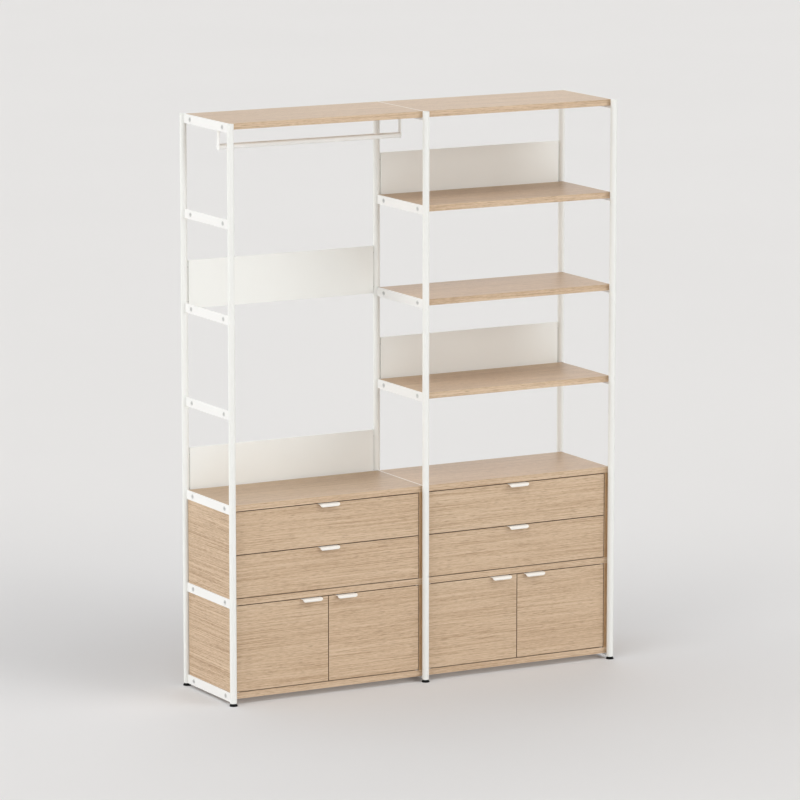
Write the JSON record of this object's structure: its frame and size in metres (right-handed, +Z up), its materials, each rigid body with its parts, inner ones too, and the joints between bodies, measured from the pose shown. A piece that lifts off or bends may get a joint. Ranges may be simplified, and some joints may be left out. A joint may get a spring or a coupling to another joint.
{
  "type": "open wardrobe",
  "caption": "Two-bay open wardrobe: white steel ladder frames, oak shelves and counters, a hanging rail, steel back panels, and base cabinets with drawers above paired doors.",
  "frame": {"origin": "on the floor, at the middle of the footprint's box", "axes": "+Z up, +X to the right along the bays, +Y to the back"},
  "size_m": [1.63, 0.41, 2.132],
  "materials": {
    "white_steel": "satin powder coat",
    "rail_steel": "satin powder coat",
    "zinc_steel": "zinc plated",
    "black_plastic": "matte",
    "white_plastic": "matte",
    "oak": "matt lacquered oak veneer",
    "birch": "clear lacquered birch ply"
  },
  "bodies": {
    "rack": {"left_frame_posts": "white_steel", "middle_frame_posts": "white_steel", "right_frame_posts": "white_steel", "left_frame_crossbars": "white_steel", "middle_frame_crossbars": "white_steel", "right_frame_crossbars": "white_steel", "glide_feet": "black_plastic", "post_caps": "white_plastic", "top_shelf_left": "oak", "top_shelf_right": "oak", "upper_shelf_right": "oak", "middle_shelf_right": "oak", "lower_shelf_right": "oak", "counter_left": "oak", "counter_right": "oak", "divider_board_left": "oak", "divider_board_right": "oak", "base_board_left": "oak", "base_board_right": "oak", "cabinet_sides_left": "oak", "cabinet_sides_right": "oak", "cabinet_backs": "oak", "connecting_bolts": "zinc_steel", "upper_back_panel_left": "white_steel", "lower_back_panel_left": "white_steel", "upper_back_panel_right": "white_steel", "lower_back_panel_right": "white_steel", "pan_head_screws": "zinc_steel", "hanging_rail": "rail_steel", "rail_brackets": "rail_steel", "drawer_runners": "zinc_steel", "pivot_bushes": "white_plastic"},
    "left_bay_upper_drawer": {"left_bay_upper_drawer_front": "oak", "left_bay_upper_drawer_box": "birch", "left_bay_upper_drawer_slides": "zinc_steel", "left_bay_upper_drawer_pull": "white_steel"},
    "left_bay_lower_drawer": {"left_bay_lower_drawer_front": "oak", "left_bay_lower_drawer_box": "birch", "left_bay_lower_drawer_slides": "zinc_steel", "left_bay_lower_drawer_pull": "white_steel"},
    "left_bay_left_door": {"left_bay_left_door": "oak", "left_bay_left_door_pivots": "zinc_steel", "left_bay_left_door_pull": "white_steel"},
    "left_bay_right_door": {"left_bay_right_door": "oak", "left_bay_right_door_pivots": "zinc_steel", "left_bay_right_door_pull": "white_steel"},
    "right_bay_upper_drawer": {"right_bay_upper_drawer_front": "oak", "right_bay_upper_drawer_box": "birch", "right_bay_upper_drawer_slides": "zinc_steel", "right_bay_upper_drawer_pull": "white_steel"},
    "right_bay_lower_drawer": {"right_bay_lower_drawer_front": "oak", "right_bay_lower_drawer_box": "birch", "right_bay_lower_drawer_slides": "zinc_steel", "right_bay_lower_drawer_pull": "white_steel"},
    "right_bay_left_door": {"right_bay_left_door": "oak", "right_bay_left_door_pivots": "zinc_steel", "right_bay_left_door_pull": "white_steel"},
    "right_bay_right_door": {"right_bay_right_door": "oak", "right_bay_right_door_pivots": "zinc_steel", "right_bay_right_door_pull": "white_steel"}
  },
  "joints": [
    {"name": "left_bay_upper_drawer_slide", "type": "slide", "parent": "rack", "child": "left_bay_upper_drawer", "axis": [0, -1, 0], "range_m": [0, 0.25]},
    {"name": "left_bay_lower_drawer_slide", "type": "slide", "parent": "rack", "child": "left_bay_lower_drawer", "axis": [0, -1, 0], "range_m": [0, 0.25]},
    {"name": "left_bay_left_door_hinge", "type": "hinge", "parent": "rack", "child": "left_bay_left_door", "pos_m": [-0.772, -0.169, 0.2065], "axis": [0, 0, -1], "range_deg": [0, 90]},
    {"name": "left_bay_right_door_hinge", "type": "hinge", "parent": "rack", "child": "left_bay_right_door", "pos_m": [-0.028, -0.169, 0.2065], "axis": [0, 0, 1], "range_deg": [0, 90]},
    {"name": "right_bay_upper_drawer_slide", "type": "slide", "parent": "rack", "child": "right_bay_upper_drawer", "axis": [0, -1, 0], "range_m": [0, 0.25]},
    {"name": "right_bay_lower_drawer_slide", "type": "slide", "parent": "rack", "child": "right_bay_lower_drawer", "axis": [0, -1, 0], "range_m": [0, 0.25]},
    {"name": "right_bay_left_door_hinge", "type": "hinge", "parent": "rack", "child": "right_bay_left_door", "pos_m": [0.028, -0.169, 0.2065], "axis": [0, 0, -1], "range_deg": [0, 90]},
    {"name": "right_bay_right_door_hinge", "type": "hinge", "parent": "rack", "child": "right_bay_right_door", "pos_m": [0.772, -0.169, 0.2065], "axis": [0, 0, 1], "range_deg": [0, 90]}
  ]
}
